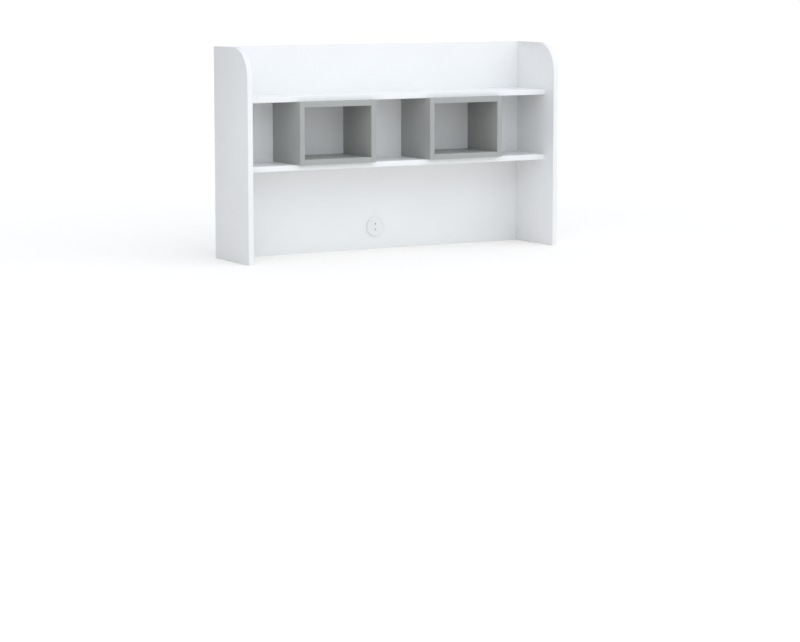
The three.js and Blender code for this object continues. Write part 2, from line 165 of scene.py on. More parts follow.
class Shader:
    """A Principled material built node by node."""

    def __init__(self, name, roughness, metallic=0.0, specular=0.5):
        self.material = bpy.data.materials.new(name)
        self.material.use_nodes = True
        self.nodes = self.material.node_tree.nodes
        self.links = self.material.node_tree.links
        self.surface = self.nodes["Principled BSDF"]
        self.surface.inputs["Roughness"].default_value = roughness
        self.surface.inputs["Metallic"].default_value = metallic
        self.surface.inputs["Specular IOR Level"].default_value = specular
        self.place = self.add("ShaderNodeTexCoord").outputs["Object"]

    def add(self, kind, **settings):
        node = self.nodes.new(kind)
        for key, value in settings.items():
            setattr(node, key, value)
        return node

    def link(self, source, target):
        self.links.new(source, target)

    def set(self, socket, source):
        if hasattr(source, "is_output"):
            self.link(source, socket)
        else:
            socket.default_value = source

    def stretched(self, scale):
        """Object coordinates stretched by a scale for each axis."""
        node = self.add("ShaderNodeMapping")
        self.link(self.place, node.inputs["Vector"])
        node.inputs["Scale"].default_value = scale
        return node.outputs["Vector"]

    def noise(self, size, detail=2.0, vector=None, roughness=0.5):
        """Noise whose blobs are about size metres across."""
        node = self.add("ShaderNodeTexNoise")
        self.link(vector or self.place, node.inputs["Vector"])
        node.inputs["Scale"].default_value = 1.0 / size
        node.inputs["Detail"].default_value = detail
        node.inputs["Roughness"].default_value = roughness
        return node.outputs["Fac"]

    def cells(self, size, output="Distance", vector=None):
        """A pattern of cells that are about size metres across."""
        node = self.add("ShaderNodeTexVoronoi")
        self.link(vector or self.place, node.inputs["Vector"])
        node.inputs["Scale"].default_value = 1.0 / size
        return node.outputs[output]

    def ramp(self, factor, *stops):
        """A colour ramp. Each stop is (position, colour)."""
        node = self.add("ShaderNodeValToRGB")
        self.link(factor, node.inputs["Fac"])
        elements = node.color_ramp.elements
        elements[0].position, elements[0].color = stops[0][0], (*stops[0][1], 1)
        elements[1].position, elements[1].color = stops[-1][0], (*stops[-1][1], 1)
        for position, colour in stops[1:-1]:
            elements.new(position).color = (*colour, 1)
        return node.outputs["Color"]

    def spread(self, factor, low, high, start=0.0, end=1.0):
        """Maps a factor's start..end to low..high."""
        node = self.add("ShaderNodeMapRange")
        self.link(factor, node.inputs["Value"])
        node.inputs["From Min"].default_value = start
        node.inputs["From Max"].default_value = end
        node.inputs["To Min"].default_value = low
        node.inputs["To Max"].default_value = high
        return node.outputs["Result"]

    def math(self, operation, first, second):
        node = self.add("ShaderNodeMath", operation=operation)
        self.set(node.inputs[0], first)
        self.set(node.inputs[1], second)
        return node.outputs["Value"]

    def bump(self, height, depth, strength, normal=None):
        """The normal of a surface that a height pattern raises by up to depth metres."""
        node = self.add("ShaderNodeBump")
        self.link(height, node.inputs["Height"])
        node.inputs["Distance"].default_value = depth
        node.inputs["Strength"].default_value = strength
        if normal is not None:
            self.link(normal, node.inputs["Normal"])
        return node.outputs["Normal"]

    def finish(self, colour, roughness=None, normal=None):
        """Joins the patterns to the surface and returns the material."""
        for name, source in (("Base Color", colour), ("Roughness", roughness), ("Normal", normal)):
            if source is not None:
                self.set(self.surface.inputs[name], source)
        return self.material


def tinted(colour, factor):
    """The colour made lighter or darker, kept below full white."""
    return tuple(min(1.0, channel * factor) for channel in colour)


# ---------------------------------------------------------------- materials

WHITE = (0.895, 0.90, 0.903)
GREY = (0.392, 0.399, 0.387)


def laminate(name, colour, roughness):
    """Melamine laminate: a fine pressed pearl texture, faint clouding and handling sheen."""
    s = Shader(name, roughness)
    clouds = s.noise(0.18, detail=3.0)
    pearl = s.noise(0.9 * MM, detail=1.0)
    pores = s.cells(1.6 * MM)
    tone = s.ramp(clouds, (0.3, tinted(colour, 0.985)), (0.7, tinted(colour, 1.01)))
    gloss = s.spread(s.noise(0.05, detail=4.0), roughness - 0.05, roughness + 0.06)
    grain = s.bump(pearl, 0.04 * MM, 0.35)
    return s.finish(tone, gloss, s.bump(pores, 0.03 * MM, 0.25, grain))


def edge_strip(name, colour, roughness):
    """Plastic edge strip: smoother than the laminate, with the faint chatter of the trimming cutter."""
    s = Shader(name, roughness)
    chatter = s.noise(1.0 * MM, detail=0.0, vector=s.stretched((1.0, 1.0, 0.25)))
    long_waves = s.noise(0.06, detail=1.0)
    tone = s.ramp(long_waves, (0.25, tinted(colour, 0.99)), (0.75, tinted(colour, 1.015)))
    gloss = s.spread(chatter, roughness - 0.04, roughness + 0.05)
    return s.finish(tone, gloss, s.bump(chatter, 0.02 * MM, 0.3))


def chipboard():
    """Drilled particle board: pressed chips in several browns, rough and fibrous."""
    s = Shader("chipboard_core", 0.9, specular=0.2)
    chips = s.cells(2.2 * MM, output="Color")
    fibres = s.noise(0.7 * MM, detail=5.0, roughness=0.7)
    mixed = s.math("MULTIPLY", s.math("ADD", chips, fibres), 0.5)
    browns = s.ramp(mixed, (0.2, (0.20, 0.12, 0.06)), (0.5, (0.42, 0.29, 0.17)), (0.8, (0.60, 0.47, 0.31)))
    return s.finish(browns, s.spread(fibres, 0.8, 0.95), s.bump(mixed, 0.4 * MM, 0.8))


def cast_zinc():
    """Die-cast zinc: dull, blotchy and softly pitted."""
    s = Shader("die_cast_zinc", 0.42, metallic=1.0)
    blotches = s.noise(4 * MM, detail=4.0)
    pits = s.cells(0.8 * MM)
    tone = s.ramp(blotches, (0.3, (0.45, 0.45, 0.45)), (0.7, (0.62, 0.62, 0.61)))
    return s.finish(tone, s.spread(blotches, 0.35, 0.55), s.bump(pits, 0.05 * MM, 0.4))


def plated_steel():
    """Zinc-plated steel: bright, with turning marks and a slight bluish bloom."""
    s = Shader("plated_steel", 0.28, metallic=1.0)
    bloom = s.noise(3 * MM, detail=3.0)
    marks = s.noise(0.25 * MM, detail=1.0, vector=s.stretched((3.0, 3.0, 0.4)))
    tone = s.ramp(bloom, (0.3, (0.62, 0.64, 0.68)), (0.7, (0.76, 0.76, 0.74)))
    return s.finish(tone, s.spread(marks, 0.2, 0.38), s.bump(marks, 0.02 * MM, 0.4))


def pressed_brass():
    """Pressed brass: warm, with patches of tarnish."""
    s = Shader("pressed_brass", 0.3, metallic=1.0)
    tarnish = s.noise(2 * MM, detail=4.0)
    tone = s.ramp(tarnish, (0.3, (0.58, 0.40, 0.16)), (0.7, (0.80, 0.61, 0.28)))
    return s.finish(tone, s.spread(tarnish, 0.22, 0.45), s.bump(s.noise(0.3 * MM), 0.02 * MM, 0.4))


def beech():
    """Beech dowel: grain along X with small dark flecks."""
    s = Shader("beech_wood", 0.7, specular=0.3)
    along = s.stretched((0.12, 1.0, 1.0))
    grain = s.noise(0.6 * MM, detail=4.0, vector=along)
    flecks = s.cells(0.9 * MM, vector=along)
    tone = s.ramp(grain, (0.25, (0.50, 0.33, 0.18)), (0.55, (0.66, 0.47, 0.28)), (0.8, (0.74, 0.56, 0.36)))
    return s.finish(tone, s.spread(flecks, 0.6, 0.8), s.bump(grain, 0.08 * MM, 0.6))


def moulded_plastic(name, colour, roughness):
    """Injection-moulded plastic: fine spark-eroded texture and slow flow marks."""
    s = Shader(name, roughness)
    sparks = s.noise(0.35 * MM, detail=2.0)
    flow = s.noise(14 * MM, detail=2.0)
    tone = s.ramp(flow, (0.3, tinted(colour, 0.985)), (0.7, tinted(colour, 1.01)))
    return s.finish(tone, s.spread(flow, roughness - 0.04, roughness + 0.05), s.bump(sparks, 0.02 * MM, 0.35))


def rubber():
    """Soft black rubber: matt, with a faint bloom."""
    s = Shader("soft_rubber", 0.75, specular=0.3)
    bloom = s.noise(3 * MM, detail=4.0)
    tone = s.ramp(bloom, (0.3, (0.018, 0.018, 0.019)), (0.7, (0.035, 0.035, 0.036)))
    return s.finish(tone, s.spread(bloom, 0.65, 0.85), s.bump(s.noise(0.4 * MM), 0.05 * MM, 0.5))


MATERIALS = {
    "white_face": laminate("white_laminate", WHITE, 0.42),
    "white_edge": edge_strip("white_edge_strip", tinted(WHITE, 1.01), 0.36),
    "grey_face": laminate("grey_laminate", GREY, 0.45),
    "grey_edge": edge_strip("grey_edge_strip", tinted(GREY, 1.03), 0.4),
    "core": chipboard(),
    "zinc": cast_zinc(),
    "steel": plated_steel(),
    "brass": pressed_brass(),
    "beech": beech(),
    "white_plastic": moulded_plastic("white_moulded_plastic", (0.86, 0.87, 0.88), 0.3),
    "grey_plastic": moulded_plastic("grey_moulded_plastic", (0.27, 0.29, 0.28), 0.45),
    "rubber": rubber(),
}


# ---------------------------------------------------------------- mesh building blocks

def clean_mesh(mesh):
    """Welds a mesh, turns its faces outwards and shades it smooth between its hard edges."""
    bm = bmesh.new()
    bm.from_mesh(mesh)
    bmesh.ops.remove_doubles(bm, verts=bm.verts, dist=WELD)
    bmesh.ops.recalc_face_normals(bm, faces=bm.faces)
    bm.to_mesh(mesh)
    bm.free()
    shade(mesh)
    return mesh


def shade(mesh):
    """Smooth shading, with an edge kept hard where the surface turns by more than SHARP_ANGLE."""
    limit = math.cos(math.radians(SHARP_ANGLE))
    bm = bmesh.new()
    bm.from_mesh(mesh)
    for face in bm.faces:
        face.smooth = True
    for edge in bm.edges:
        pair = edge.link_faces
        edge.smooth = len(pair) == 2 and pair[0].normal.dot(pair[1].normal) > limit
    bm.to_mesh(mesh)
    bm.free()


def mesh_from(points, faces):
    """A clean mesh from points and the faces between them."""
    mesh = bpy.data.meshes.new("shape")
    mesh.from_pydata(points, [], faces)
    return clean_mesh(mesh)


def rounded(profile, radius, steps=3):
    """The profile with every corner between its ends turned into a small curve."""
    points = [Vector(point) for point in profile]
    result = [points[0]]
    for before, corner, after in zip(points, points[1:], points[2:]):
        back, ahead = before - corner, after - corner
        start = corner + back.normalized() * min(radius, CORNER_SHARE * back.length)
        end = corner + ahead.normalized() * min(radius, CORNER_SHARE * ahead.length)
        for step in range(steps + 1):
            along = step / steps
            result.append(start.lerp(corner, along).lerp(corner.lerp(end, along), along))
    return [*result, points[-1]]


def sleeve(grid):
    """Faces between the neighbouring rings of a grid of points, each ring closed on itself."""
    count = len(grid[0])
    points = [point for ring in grid for point in ring]
    faces = []
    for ring in range(len(grid) - 1):
        for step in range(count):
            after = (step + 1) % count
            low, high = ring * count, (ring + 1) * count
            faces.append((low + step, low + after, high + after, high + step))
    return points, faces


def turned(profile, segments, thread=None, flutes=None):
    """A turned solid about +Z through (radius, height) points, from the axis and back to it. A profile
    that ends where it starts goes round a bore. A thread is (low, high, pitch, depth), and flutes are
    (count, depth)."""
    grid = []
    for radius, height in threaded_rings(profile, thread):
        ring = []
        for step in range(segments):
            turn = step / segments
            cut = thread_cut(height, turn, thread)
            if flutes:
                cut += flutes[1] * abs(math.sin(math.pi * flutes[0] * turn))
            reach = max(0.0, radius - cut)
            angle = 2 * math.pi * turn
            ring.append((reach * math.cos(angle), reach * math.sin(angle), height))
        grid.append(ring)
    return mesh_from(*sleeve(grid))


def threaded_rings(profile, thread):
    """The profile's points, with close rings added along the threaded stretch."""
    if not thread:
        return [tuple(point) for point in profile]
    low, high, pitch, _ = thread
    rings = [tuple(profile[0])]
    for (radius_a, height_a), (radius_b, height_b) in zip(profile, profile[1:]):
        rise, spread = height_b - height_a, radius_b - radius_a
        if rise > 0 and height_a < high and height_b > low:
            count = math.ceil(rise / (pitch / RINGS_PER_PITCH))
            for step in range(1, count):
                rings.append((radius_a + step / count * spread, height_a + step / count * rise))
        rings.append((radius_b, height_b))
    return rings


def thread_cut(height, turn, thread):
    """How deep the thread's groove is at a height and a share of a turn."""
    if not thread:
        return 0.0
    low, high, pitch, depth = thread
    run_out = min(1.0, (high - height) / pitch, (height - low) / pitch)
    phase = (height / pitch - turn) % 1.0
    return depth * max(0.0, run_out) * min(1.0, THREAD_FLANK * abs(2 * phase - 1))


def prism(outline, low, high, taper=0.0):
    """An upright solid on an outline of (x, y) points. Its top is wider than its foot by the taper."""
    def ring(height, grow):
        return [(x + math.copysign(grow, x), y + math.copysign(grow, y), height) for x, y in outline]

    points, faces = sleeve([ring(low, 0.0), ring(high, taper)])
    count = len(outline)
    faces += [tuple(range(count)), tuple(range(count, 2 * count))]
    return mesh_from(points, faces)


def rectangle(width, depth, middle=(0.0, 0.0), corner=0.0):
    """A rectangle's outline, with rounded corners if asked."""
    outline = []
    for x_sign, y_sign, start in ((1, 1, 0), (-1, 1, 90), (-1, -1, 180), (1, -1, 270)):
        for angle in (start, start + 30, start + 60, start + 90) if corner else (start,):
            x = x_sign * (width / 2 - corner) + corner * math.cos(math.radians(angle))
            y = y_sign * (depth / 2 - corner) + corner * math.sin(math.radians(angle))
            outline.append((middle[0] + x, middle[1] + y))
    return outline


def carve(mesh, cutters):
    """The mesh with the cutters' shapes taken out of it."""
    collection = bpy.context.scene.collection
    target = bpy.data.objects.new("carved", mesh)
    helpers = [target]
    collection.objects.link(target)
    for cutter in cutters:
        helper = bpy.data.objects.new("cutter", cutter)
        collection.objects.link(helper)
        helpers.append(helper)
        modifier = target.modifiers.new("carve", "BOOLEAN")
        modifier.operation = "DIFFERENCE"
        modifier.solver = "EXACT"
        modifier.object = helper
    depsgraph = bpy.context.evaluated_depsgraph_get()
    result = bpy.data.meshes.new_from_object(target.evaluated_get(depsgraph))
    for helper in helpers:
        bpy.data.objects.remove(helper)
    return clean_mesh(result)


def joined(*meshes):
    """One mesh that holds several closed shells."""
    bm = bmesh.new()
    for mesh in meshes:
        bm.from_mesh(mesh)
    result = bpy.data.meshes.new("joined")
    bm.to_mesh(result)
    bm.free()
    shade(result)
    return result


def moved(mesh, shift):
    """A copy of a mesh, shifted while it is still in its own frame."""
    copy = mesh.copy()
    copy.transform(Matrix.Translation(shift))
    return copy


def placed(mesh, place, up, across):
    """A copy of a mesh drawn in millimetres, with its origin at place, its +Z along up and its +X along
    across."""
    z_axis, x_axis = Vector(up), Vector(across)
    turn = Matrix((x_axis, z_axis.cross(x_axis), z_axis)).transposed().to_4x4()
    copy = mesh.copy()
    copy.transform(Matrix.Translation(place) @ turn @ Matrix.Scale(MM, 4))
    return copy


def make_piece(node, suffix, mesh, looks, body=BODY):
    """Puts a finished mesh in the scene as the piece that stands for one CAD node."""
    piece = bpy.data.objects.new(f"{node}_{suffix}", mesh)
    bpy.context.scene.collection.objects.link(piece)
    mesh.materials.clear()
    for look in looks:
        mesh.materials.append(MATERIALS[look])
    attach(piece, body)
    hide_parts(node)
    return piece


def middle_of(node):
    """The middle of a CAD node's box."""
    low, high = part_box(node)
    return (Vector(low) + Vector(high)) / 2


# ---------------------------------------------------------------- boards

FACE, STRIP, CORE = range(3)
X_AXIS, Y_AXIS, Z_AXIS = range(3)


def near_limit(value, low, high):
    """True at either end of a stretch."""
    return min(abs(value - low), abs(value - high)) < TOUCH


def in_round_corner(point, low, high):
    """True on the quarter round at a side panel's front top corner."""
    centre_y, centre_z = low.y + CORNER_RADIUS, high.z - CORNER_RADIUS
    distance = math.hypot(point.y - centre_y, point.z - centre_z)
    return point.y < centre_y and point.z > centre_z and abs(distance - CORNER_RADIUS) < ARC_TOUCH


def part_of_board(face, low, high, thickness_axis, rounded_corner):
    """Tells laminate face, edge strip and drilled core apart."""
    looks_along_axis = 0.99
    if abs(face.normal[thickness_axis]) > looks_along_axis:
        place = face.verts[0].co[thickness_axis]
        return FACE if near_limit(place, low[thickness_axis], high[thickness_axis]) else CORE
    around = [axis for axis in range(3) if axis != thickness_axis]
    for vert in face.verts:
        on_edge = any(near_limit(vert.co[axis], low[axis], high[axis]) for axis in around)
        if not on_edge and not (rounded_corner and in_round_corner(vert.co, low, high)):
            return CORE
    return STRIP


def is_arris(edge):
    """An outer edge of the board: laminate meets strip, or two strips meet at a right angle."""
    if any(face.material_index == CORE for face in edge.link_faces):
        return False
    return edge.calc_face_angle(0) > math.radians(ARRIS_ANGLE)


def board(node, thickness_axis, colour):
    """A laminated board: rounded edge strips, laminate faces and bare chipboard in its drillings."""
    low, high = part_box(node)
    bm = bmesh.new()
    bm.from_mesh(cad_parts[node].data)
    bmesh.ops.remove_doubles(bm, verts=bm.verts, dist=BOARD_WELD)
    bmesh.ops.dissolve_limit(bm, angle_limit=math.radians(FLAT_ANGLE), verts=bm.verts, edges=bm.edges)
    rounded_corner = node.endswith("side_panel")
    for face in bm.faces:
        face.material_index = part_of_board(face, low, high, thickness_axis, rounded_corner)
    bmesh.ops.bevel(
        bm,
        geom=[edge for edge in bm.edges if is_arris(edge)],
        offset=EDGE_RADIUS,
        segments=EDGE_STEPS,
        affect="EDGES",
        profile=0.5,
        material=STRIP,
        clamp_overlap=True,
    )
    mesh = bpy.data.meshes.new("board")
    bm.to_mesh(mesh)
    bm.free()
    shade(mesh)
    make_piece(node, "laminated", mesh, (f"{colour}_face", f"{colour}_edge", "core"))


for side, _ in SIDES:
    board(f"{side}_side_panel", X_AXIS, "white")
    for end, _ in SIDES:
        board(f"{side}_cubby_{end}_board", X_AXIS, "grey")
    for level in ("bottom", "top"):
        board(f"{side}_cubby_{level}_board", Z_AXIS, "grey")
for shelf in SHELVES:
    board(f"{shelf}_shelf", Z_AXIS, "white")
board("back_panel", Y_AXIS, "white")

# ---------------------------------------------------------------- cam fittings, screws and dowels

INNER_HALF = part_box("right_side_panel")[0].x


def cross_cutters(length, width, depth, taper):
    """Two tapered slots that make a cross recess in a head whose face is at height 0."""
    above = 0.5
    rise = taper * (1 + above / depth)
    return [
        prism(rectangle(length - 2 * taper, width), -depth, above, rise),
        prism(rectangle(width, length - 2 * taper), -depth, above, rise),
    ]


def cam_lock_mesh():
    """A cast cam: chamfered drum, cross recess, pointer mark and the jaw that takes the bolt's head."""
    jaw_width, jaw_corner = 7.4, 1.2
    jaw_start, jaw_end = -3.0, CAM_RADIUS + PAST
    jaw_low, jaw_high = -CAM_LENGTH - PAST, -5.0
    face_depth = 0.35
    pointer_depth = 0.5
    profile = [
        (0, -CAM_LENGTH),
        (CAM_RADIUS - 0.5, -CAM_LENGTH),
        (CAM_RADIUS - 0.5, -CAM_LENGTH + 1.2),
        (CAM_RADIUS - 0.2, -CAM_LENGTH + 1.6),
        (CAM_RADIUS - 0.2, -1.4),
        (CAM_RADIUS, -1.1),
        (CAM_RADIUS, 0),
        (CAM_RADIUS - 0.9, 0),
        (CAM_RADIUS - 1.2, -face_depth),
        (0, -face_depth),
    ]
    drum = turned(rounded(profile, radius=0.3), segments=48)
    jaw_middle = ((jaw_start + jaw_end) / 2, 0)
    jaw = prism(rectangle(jaw_end - jaw_start, jaw_width, jaw_middle, jaw_corner), jaw_low, jaw_high)
    pointer = prism([(5.7, 0.0), (4.4, 0.8), (4.4, -0.8)], -face_depth - pointer_depth, PAST)
    recess = cross_cutters(length=8.0, width=1.6, depth=2.2, taper=0.25)
    return carve(drum, [jaw, pointer, *recess])


def cam_bolt_mesh():
    """A cam bolt: coarse thread, collar, shaft, neck and ball-shaped head."""
    thread_radius, thread_pitch, thread_depth = 2.5, 1.8, 0.6
    collar_radius, collar_start, collar_end = 3.5, 0.3, 2.0
    shaft_radius, neck_radius, head_radius = 2.9, 1.6, 3.2
    neck_start = CAM_OFFSET - CAM_RADIUS
    profile = [
        (0, -BOLT_THREAD_LENGTH),
        (thread_radius - 1, -BOLT_THREAD_LENGTH),
        (thread_radius, -BOLT_THREAD_LENGTH + 1.2),
        (thread_radius, collar_start),
        (collar_radius, collar_start),
        (collar_radius, collar_end),
        (shaft_radius, collar_end),
        (shaft_radius, neck_start - 1),
        (neck_radius, neck_start),
        (neck_radius, CAM_OFFSET - 3),
        (head_radius, CAM_OFFSET - 2),
        (head_radius, CAM_OFFSET - 0.4),
        (1.8, CAM_OFFSET + 0.9),
        (0, CAM_OFFSET + 1),
    ]
    thread = (-BOLT_THREAD_LENGTH, 0.0, thread_pitch, thread_depth)
    return turned(rounded(profile, radius=0.3), segments=24, thread=thread)


def screw_mesh(length, head_radius, shank_radius, pitch):
    """A countersunk screw with its head's face at height 0 and its point down -Z."""
    rim = 0.6
    head_height = rim + head_radius - shank_radius
    thread = (-length, -head_height - 0.15 * length, pitch, 0.28 * shank_radius)
    profile = [
        (0, -length),
        (0.25 * shank_radius, -length + 0.3),
        (shank_radius, -length + 3.0),
        (shank_radius, -head_height),
        (head_radius, -rim),
        (head_radius, -0.15),
        (head_radius - 0.2, 0),
        (0, 0),
    ]
    recess = cross_cutters(
        length=1.3 * head_radius,
        width=0.26 * head_radius,
        depth=0.5 * head_radius,
        taper=0.12,
    )
    return carve(turned(profile, segments=24, thread=thread), recess)


def dowel_mesh(length):
    """A fluted dowel with chamfered ends, lying along its +Z from the middle."""
    half = length / 2
    chamfer = 0.9
    flute_depth = 0.3
    profile = [
        (0, -half),
        (DOWEL_RADIUS - chamfer, -half),
        (DOWEL_RADIUS, -half + chamfer),
        (DOWEL_RADIUS, half - chamfer),
        (DOWEL_RADIUS - chamfer, half),
        (0, half),
    ]
    return turned(profile, segments=4 * DOWEL_FLUTES, flutes=(DOWEL_FLUTES, flute_depth))


def put_fitting(name, sign, up, lock, bolt):
    """Puts a cam lock with its face looking along up, and the bolt that reaches it from the side panel."""
    lock_place = middle_of(f"{name}_cam_lock") + Vector(up) * (CAM_LENGTH / 2 * MM)
    lock_mesh = placed(lock, lock_place, up, (sign, 0, 0))
    make_piece(f"{name}_cam_lock", "cast", lock_mesh, ("zinc",))
    bolt_place = middle_of(f"{name}_cam_bolt")
    bolt_place.x = sign * INNER_HALF
    bolt_mesh = placed(bolt, bolt_place, (-sign, 0, 0), (0, 0, 1))
    make_piece(f"{name}_cam_bolt", "threaded", bolt_mesh, ("steel",))


def put_screw(node, up, mesh):
    """Puts a screw with its head's face on the far side of its CAD node's box along up."""
    low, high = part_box(node)
    place = middle_of(node)
    for axis in range(3):
        if up[axis]:
            place[axis] = high[axis] if up[axis] > 0 else low[axis]
    make_piece(node, "threaded", placed(mesh, place, up, (1, 0, 0)), ("steel",))


def put_dowel(node):
    """Puts a dowel along X, as long as its CAD node."""
    low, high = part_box(node)
    mesh = dowel_mesh((high.x - low.x) / MM)
    make_piece(node, "fluted", placed(mesh, middle_of(node), (1, 0, 0), (0, 1, 0)), ("beech",))


cam_lock = cam_lock_mesh()
cam_bolt = cam_bolt_mesh()
fixing_screw = screw_mesh(SCREW_LENGTH, SCREW_HEAD_RADIUS, SCREW_SHANK_RADIUS, pitch=1.8)
connector = screw_mesh(CONNECTOR_LENGTH, CONNECTOR_HEAD_RADIUS, CONNECTOR_SHANK_RADIUS, pitch=3.0)
for side, sign in SIDES:
    for shelf in SHELVES:
        for row in ("front", "rear"):
            put_fitting(f"{shelf}_shelf_{side}_{row}", sign, (0, 0, -1), cam_lock, cam_bolt)
    for level in ("low", "high"):
        put_fitting(f"back_panel_{side}_{level}", sign, (0, 1, 0), cam_lock, cam_bolt)
    for end, _ in SIDES:
        put_screw(f"{side}_cubby_{end}_fixing_screw", (0, 0, -1), fixing_screw)
        for level in ("bottom", "top"):
            put_dowel(f"{side}_cubby_{level}_{end}_dowel")
for shelf in SHELVES:
    put_screw(f"{shelf}_shelf_back_screw", (0, 1, 0), connector)

# ---------------------------------------------------------------- power outlet

OUTLET_PLACE = Vector((0.0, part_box("back_panel")[0].y, middle_of("outlet_faceplate").z))
FACE_INSIDE = FACE_HEIGHT - FACE_THICKNESS
SHUTTER_HEIGHT = (FACE_INSIDE + BODY_FRONT) / 2


def put_outlet_part(node, suffix, mesh, look, body=BODY):
    """Turns a part that was drawn looking along +Z to look forwards, with its +Y up."""
    return make_piece(node, suffix, placed(mesh, OUTLET_PLACE, (0, -1, 0), (1, 0, 0)), (look,), body)


def pin_cutters(radius, low, high, flare=0.0):
    """A cutter for each pin hole. With a flare, its mouth opens at the height high."""
    mouth = [(radius, high), (0, high)]
    if flare:
        mouth = [
            (radius, high - flare),
            (radius + flare, high),
            (radius + flare + PAST, high + PAST),
            (0, high + PAST),
        ]
    cutter = turned([(0, low), (radius, low), *mouth], HOLE_SEGMENTS)
    return [moved(cutter, (0, height, 0)) for height in PIN_HEIGHTS]


def faceplate_mesh():
    """The visible plate: rounded flange, dished face, flared pin holes and the skirt behind."""
    arc_steps = 10
    behind = [
        (0, FACE_INSIDE),
        (CAVITY_RADIUS, FACE_INSIDE),
        (CAVITY_RADIUS, SKIRT_END),
        (SKIRT_RADIUS, SKIRT_END),
        (SKIRT_RADIUS, 0),
        (FLANGE_RADIUS, 0),
    ]
    flange = []
    for step in range(arc_steps + 1):
        angle = step / arc_steps * math.pi / 2
        flange.append((
            FLANGE_RADIUS + FLANGE_ROUND * (math.cos(angle) - 1),
            FLANGE_PROUD + FLANGE_ROUND * (math.sin(angle) - 1),
        ))
    dish = rounded(
        [flange[-1], (DISH_TOP_RADIUS, FLANGE_PROUD), (DISH_FLOOR_RADIUS, FACE_HEIGHT), (0, FACE_HEIGHT)],
        radius=0.8,
        steps=5,
    )
    plate = turned([*behind, *flange, *dish[1:]], segments=128)
    return carve(plate, pin_cutters(PIN_HOLE_RADIUS, FACE_INSIDE - PAST, FACE_HEIGHT, flare=0.45))


def shutter_mesh():
    """The child-safety plate, with two windows that miss the pin holes until it lifts."""
    width, height, thickness = SHUTTER_SIZE
    corner = 1.5
    groove_length, groove_width, groove_depth, groove_rise = width / 2, 1.0, 0.3, 2.0
    low = SHUTTER_HEIGHT - thickness / 2
    high = low + thickness
    plate = prism(rectangle(width, height, (0, -SHUTTER_DROP), corner), low, high)
    windows = [
        moved(window, (0, -SHUTTER_TRAVEL, 0))
        for window in pin_cutters(PIN_HOLE_RADIUS + PIN_CLEARANCE, low - PAST, high + PAST)
    ]
    groove_outline = rectangle(groove_length, groove_width, (0, groove_rise - SHUTTER_DROP))
    groove = prism(groove_outline, high - groove_depth, high + PAST)
    return carve(plate, [*windows, groove])


def spring_mesh():
    """A compression spring along +Y with closed end coils."""
    wire_radius, coil_radius = 0.3, 1.2
    turns, closed_turns = 5.5, 1.0
    wire_sides, steps_per_turn = 10, 28
    closed_pitch = 2.1 * wire_radius
    start = SPRING_LOW + wire_radius
    end = SPRING_HIGH - wire_radius
    open_rise = (end - start - 2 * closed_turns * closed_pitch) / (turns - 2 * closed_turns)
    grid = []
    steps = round(turns * steps_per_turn)
    for step in range(steps + 1):
        turn = step / steps_per_turn
        first = min(turn, closed_turns)
        last = max(0.0, turn - (turns - closed_turns))
        along = start + (first + last) * closed_pitch + (turn - first - last) * open_rise
        angle = 2 * math.pi * turn
        outward = Vector((math.cos(angle), 0, math.sin(angle)))
        centre = Vector((0, along, SHUTTER_HEIGHT)) + coil_radius * outward
        ring = []
        for index in range(wire_sides):
            around = 2 * math.pi * index / wire_sides
            offset = math.cos(around) * outward + math.sin(around) * Vector((0, 1, 0))
            ring.append(centre + wire_radius * offset)
        grid.append(ring)
    points, faces = sleeve(grid)
    count = len(points)
    faces += [tuple(range(wire_sides)), tuple(range(count - wire_sides, count))]
    return mesh_from(points, faces)


def body_mesh():
    """The moulded block behind the shutter, with a chamber for each contact and grooves to hold it."""
    radius = CAVITY_RADIUS - FIT_CLEARANCE
    front_wall = 1.5
    chamber_width, chamber_corner = 9.0, 0.8
    groove_width, groove_length, groove_depth, groove_offset, groove_corner = 2.0, 22.0, 6.0, 14.0, 0.9
    profile = [(0, BODY_BACK), (radius, BODY_BACK), (radius, BODY_FRONT), (0, BODY_FRONT)]
    drum = turned(rounded(profile, radius=0.5), segments=96)
    chamber_end = BODY_FRONT - front_wall
    cutters = pin_cutters(PIN_HOLE_RADIUS + PIN_CLEARANCE, chamber_end - PAST, BODY_FRONT + PAST)
    for height in PIN_HEIGHTS:
        outline = rectangle(chamber_width, chamber_width, (0, height), chamber_corner)
        cutters.append(prism(outline, BODY_BACK - PAST, chamber_end))
    for _, sign in SIDES:
        outline = rectangle(groove_width, groove_length, (sign * groove_offset, 0), groove_corner)
        cutters.append(prism(outline, BODY_BACK - PAST, BODY_BACK + groove_depth))
    return carve(drum, cutters)


def contact_mesh():
    """A rolled brass tube, split to grip the pin, with a flat tab behind for the wire."""
    outer, inner, length = 3.6, 2.3, 9.0
    split_width, split_start = 0.7, 2.5
    tab_width, tab_thickness, tab_length, tab_corner, tab_overlap = 4.0, 0.8, 1.0, 0.3, 0.1
    wall = (outer + inner) / 2
    profile = [(wall, 0), (outer, 0), (outer, length), (inner, length), (inner, 0), (wall, 0)]
    split = prism(rectangle(split_width, 3 * outer), split_start, length + PAST)
    tube = carve(turned(rounded(profile, radius=0.2), segments=48), [split])
    tab = prism(rectangle(tab_width, tab_thickness, (0, wall), tab_corner), -tab_length, tab_overlap)
    return joined(tube, tab)


